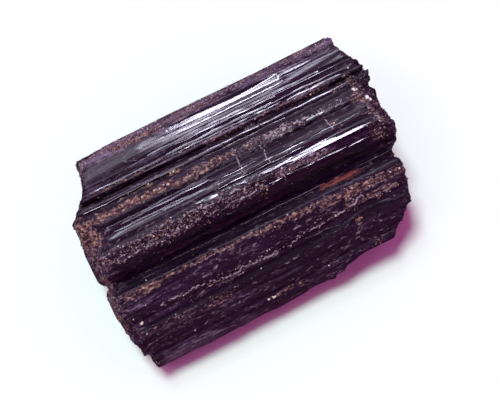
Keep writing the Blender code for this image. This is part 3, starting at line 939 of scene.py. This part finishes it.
def scatterCrumbs():
    # made in small lots, which are quicker to make than one great one
    rng = np.random.default_rng(crumbs["seed"])
    places, tints = [], []
    for zone, (count, sizes, tintRange) in crumbs["zones"].items():
        for place, normal in zip(*crumbPlaces(rng, zone, count)):
            radius = sizes[0] + (sizes[1] - sizes[0]) * rng.random() ** 2.0
            places.append((place, normal, radius, rng.uniform(*tintRange)))
    for x, y, radius, tint in namedGrains:
        place, normal = plumb(x, y)
        if place:
            places.append((place, normal, radius, tint))
    whole = bmesh.new()
    lotMesh = bpy.data.meshes.new("lot")
    for first in range(0, len(places), crumbs["lot"]):
        lot = bmesh.new()
        for place, normal, radius, tint in places[first:first + crumbs["lot"]]:
            tints += [tint] * crumb(lot, place, normal, radius, rng)
        lot.to_mesh(lotMesh)
        lot.free()
        whole.from_mesh(lotMesh)
    bpy.data.meshes.remove(lotMesh)
    mesh = bpy.data.meshes.new(crumbs["name"])
    whole.to_mesh(mesh)
    whole.free()
    return mesh, tints


# Pale tubes: whitish mineral in cracks and along ledges, which along the front prism's ledge also stand
# in for painted glints on its edge
veinsAndGlints = {
    "name": "pale_veins_and_glints",
    "seed": 8,
    "step": 0.22,               # between the points of a vein
    "jitter": 0.07,
    "sunk": 0.45,               # how deep a tube's middle lies, as a share of its radius
    "thickness": (0.30, 1.35),  # of each point, against the radius
}
veinAndGlintLines = (
    # radius, tint, share left out in gaps, points seen from above
    # along the ledge of the front prism: pale mineral and a painted glint on its edge
    (0.13, 0.56, 0.05, ((-18.3, -9.7), (-16.1, -9.6), (-14.2, -9.9), (-12.8, -9.7), (-11.3, -9.8),
                        (-9.6, -9.9))),
    (0.15, 0.60, 0.0, ((-10.8, -10.4), (-9.4, -10.1), (-7.9, -10.2), (-6.0, -10.3), (-4.9, -10.1),
                       (-2.1, -10.3), (0.7, -10.3))),
    (0.14, 0.58, 0.05, ((-0.2, -10.3), (1.4, -10.2), (2.6, -10.4), (4.8, -10.0), (7.0, -9.9),
                        (9.7, -9.8), (11.9, -9.7), (13.3, -9.5), (14.3, -9.4), (15.0, -8.8),
                        (15.6, -8.8), (16.3, -9.5), (17.3, -9.6), (19.1, -9.7), (20.2, -9.5),
                        (21.7, -9.4))),
    (0.10, 0.56, 0.1, ((7.3, -9.4), (8.2, -9.0), (8.7, -9.4))),
    (0.06, 0.30, 0.35, ((-20.3, -4.6), (-16.5, -4.7), (-12.1, -4.8), (-7.6, -4.9), (-3.2, -4.8),
                        (0.5, -4.9), (5.0, -5.1), (10.3, -5.3), (21.0, -5.5))),
    (0.09, 0.60, 0.1, ((0.8, 3.1), (0.6, 1.4), (0.8, -0.2))),
    (0.13, 0.62, 0.05, ((4.6, 3.1), (4.8, 2.4), (4.5, 0.7), (4.8, -0.4))),
    (0.10, 0.60, 0.1, ((5.5, -2.0), (5.6, -2.4), (6.0, -3.3))),
    (0.11, 0.60, 0.05, ((14.8, 3.9), (14.9, 1.4), (15.3, -0.1))),
    (0.07, 0.55, 0.15, ((-14.1, -7.0), (-8.0, -7.0), (-3.0, -7.05))),
    (0.06, 0.42, 0.30, ((-24.0, -11.95), (-18.0, -11.95), (-10.0, -12.0), (-2.1, -12.0))),
    (0.16, 0.84, 0.0, ((-3.4, -14.95), (-2.6, -15.05), (-1.7, -15.0))),
    (0.06, 0.55, 0.10, ((3.6, 4.3), (3.9, 3.9), (4.4, 4.2), (4.6, 3.7))),
    (0.05, 0.60, 0.30, ((11.8, 3.4), (13.5, 3.5), (16.5, 3.2), (19.0, 3.9))),
    (0.05, 0.58, 0.35, ((9.6, -12.5), (11.5, -12.6))),
    (0.05, 0.58, 0.3, ((12.6, -13.3), (13.9, -13.4))),
)


def paleTubeTrack(line, rng):
    # points along the line, laid on the surface, in runs broken by gaps
    radius, tint, gaps, points = line
    runs, track = [], []
    for (x0, y0), (x1, y1) in zip(points, points[1:]):
        steps = max(1, round(math.hypot(x1 - x0, y1 - y0) / veinsAndGlints["step"]))
        for step in range(steps):
            share = step / steps
            x = x0 + (x1 - x0) * share + rng.normal(0.0, veinsAndGlints["jitter"])
            y = y0 + (y1 - y0) * share + rng.normal(0.0, veinsAndGlints["jitter"])
            hit, normal = plumb(x, y)
            if hit and rng.random() > gaps:
                track.append(hit - normal * radius * veinsAndGlints["sunk"])
            else:
                runs, track = runs + [track], []
    return [run for run in runs + [track] if len(run) > 1]


def paleTube(runs, radius, rng):
    # a thin uneven tube for each run of points
    curve = bpy.data.curves.new("pale_tube", "CURVE")
    curve.dimensions = "3D"
    curve.bevel_depth = 1.0
    curve.bevel_resolution = 1
    curve.use_fill_caps = True
    for run in runs:
        spline = curve.splines.new("POLY")
        spline.points.add(len(run) - 1)
        for point, place in zip(spline.points, run):
            point.co = (*place, 1.0)
            point.radius = radius * rng.uniform(*veinsAndGlints["thickness"])
    body = bpy.data.objects.new("pale_tube", curve)
    bpy.context.scene.collection.objects.link(body)
    evaluated = body.evaluated_get(bpy.context.evaluated_depsgraph_get())
    mesh = bpy.data.meshes.new_from_object(evaluated)
    bpy.data.objects.remove(body)
    return mesh


def paleVeinsAndGlints():
    rng = np.random.default_rng(veinsAndGlints["seed"])
    bm = bmesh.new()
    tints = []
    for line in veinAndGlintLines:
        tube = paleTube(paleTubeTrack(line, rng), line[0], rng)
        bm.from_mesh(tube)
        tints += [line[1]] * len(tube.vertices)
        bpy.data.meshes.remove(tube)
    mesh = bpy.data.meshes.new(veinsAndGlints["name"])
    bm.to_mesh(mesh)
    bm.free()
    return mesh, tints


ribMesh = glassyRibs()
dress(ribs["name"], ribMesh, glossySchorl(), meshPoints(ribMesh), {})
ribMesh.set_sharp_from_angle(angle=math.radians(ribs["sharpAngle"]))
print("ribs:", len(ribMesh.polygons), "faces")
crumbMesh, crumbTint = scatterCrumbs()
crumbMaterial = crumbDust()
dress(crumbs["name"], crumbMesh, crumbMaterial, meshPoints(crumbMesh), {"tint": crumbTint})
crumbMesh.shade_flat()
print("crumbs:", len(crumbMesh.polygons), "faces")
veinAndGlintMesh, veinAndGlintTint = paleVeinsAndGlints()
dress(veinsAndGlints["name"], veinAndGlintMesh, crumbMaterial, meshPoints(veinAndGlintMesh), {"tint": veinAndGlintTint})
print("veins:", len(veinAndGlintMesh.polygons), "faces")


table = {"half": 2.0, "colour": (0.86, 0.87, 0.88, 1.0), "roughness": 1.0}    # half its side in metres


def paleTable():
    bm = bmesh.new()
    bmesh.ops.create_grid(bm, x_segments=1, y_segments=1, size=table["half"])
    mesh = bpy.data.meshes.new("table")
    bm.to_mesh(mesh)
    bm.free()
    w = Wiring("pale table")
    w.shade(colour=table["colour"], roughness=table["roughness"], gloss=0.0)
    mesh.materials.append(w.material)
    piece = bpy.data.objects.new("table", mesh)
    piece.visible_glossy = False     # the stone mirrors the dim room all round, not a sea of white
    bpy.context.scene.collection.objects.link(piece)


lights = {
    # name: direction to the lamp, its width in degrees, brightness on the table, colour, what it lights
    "key": ((-0.12, 0.14, 1.0), 13.0, 0.755, (0.70, 1.0, 0.86), "diffuse"),
    "back": ((-0.12, 0.37, 1.0), 12.0, 0.12, (0.75, 1.0, 0.92), "diffuse"),
    "side": ((-0.48, 0.05, 1.0), 16.0, 0.06, (0.77, 1.0, 0.83), "diffuse"),
    "sheen": ((0.16, 0.30, 0.94), 6.5, 0.21, (0.83, 0.81, 1.0), "gloss"),
    "glints": ((-0.18, 0.36, 1.0), 12.0, 0.14, (0.88, 0.86, 1.0), "gloss"),
}
lampDistance = 4.0              # metres
room = {
    "mauve": (0.46, 0.097, 0.31, 1.0),              # what lights the shadows
    "mirrored": (0.135, 0.026, 0.120, 1.0),         # what the stone reflects
    "backdrop": (0.93, 0.96, 0.97, 1.0),
}
view = {
    "azimuth": -27.63, "elevation": 74.0,           # degrees
    "target": (0.00104, -0.00087, 0.0125), "distance": 0.25,        # metres
    "lens": 118.7, "sensor": 36.0,
}


def softLamp(name):
    # a round lamp, as strong as lights the table to the brightness that is asked
    direction, width, brightness, colour, kind = lights[name]
    toLamp = Vector(direction).normalized()
    lamp = bpy.data.lights.new(name, "AREA")
    lamp.shape = "DISK"
    lamp.size = 2.0 * lampDistance * math.tan(math.radians(width / 2.0))
    lamp.energy = brightness * (math.pi * lampDistance) ** 2 / (table["colour"][1] * toLamp.z)
    lamp.color = colour
    piece = bpy.data.objects.new(name, lamp)
    piece.location = toLamp * lampDistance
    piece.rotation_euler = toLamp.to_track_quat("Z", "Y").to_euler()
    piece.visible_diffuse = kind == "diffuse"
    piece.visible_glossy = kind == "gloss"
    bpy.context.scene.collection.objects.link(piece)


def mauveRoom():
    # one colour for the camera, one for what the stone mirrors, and one that lights the shadows
    world = bpy.data.worlds.new("room")
    world.use_nodes = True
    bpy.context.scene.world = world
    tree = world.node_tree
    seen = tree.nodes.new("ShaderNodeLightPath").outputs
    colour = mixColours(tree, seen["Is Glossy Ray"], room["mauve"], room["mirrored"])
    colour = mixColours(tree, seen["Is Camera Ray"], colour, room["backdrop"])
    feed(tree, tree.nodes["Background"].inputs["Color"], colour)


def setCamera():
    azimuth, elevation = math.radians(view["azimuth"]), math.radians(view["elevation"])
    back = Vector((math.sin(azimuth) * math.cos(elevation), -math.cos(azimuth) * math.cos(elevation),
                   math.sin(elevation)))
    camera = bpy.data.cameras.new("camera")
    camera.lens = view["lens"]
    camera.sensor_width = view["sensor"]
    camera.clip_start = 0.01
    piece = bpy.data.objects.new("camera", camera)
    piece.location = Vector(view["target"]) + back * view["distance"]
    piece.rotation_euler = back.to_track_quat("Z", "Y").to_euler()
    bpy.context.scene.collection.objects.link(piece)
    bpy.context.scene.camera = piece


paleTable()
for lampName in lights:
    softLamp(lampName)
mauveRoom()
setCamera()
bpy.context.scene.view_settings.view_transform = "Standard"
print("table, lights and camera are set")
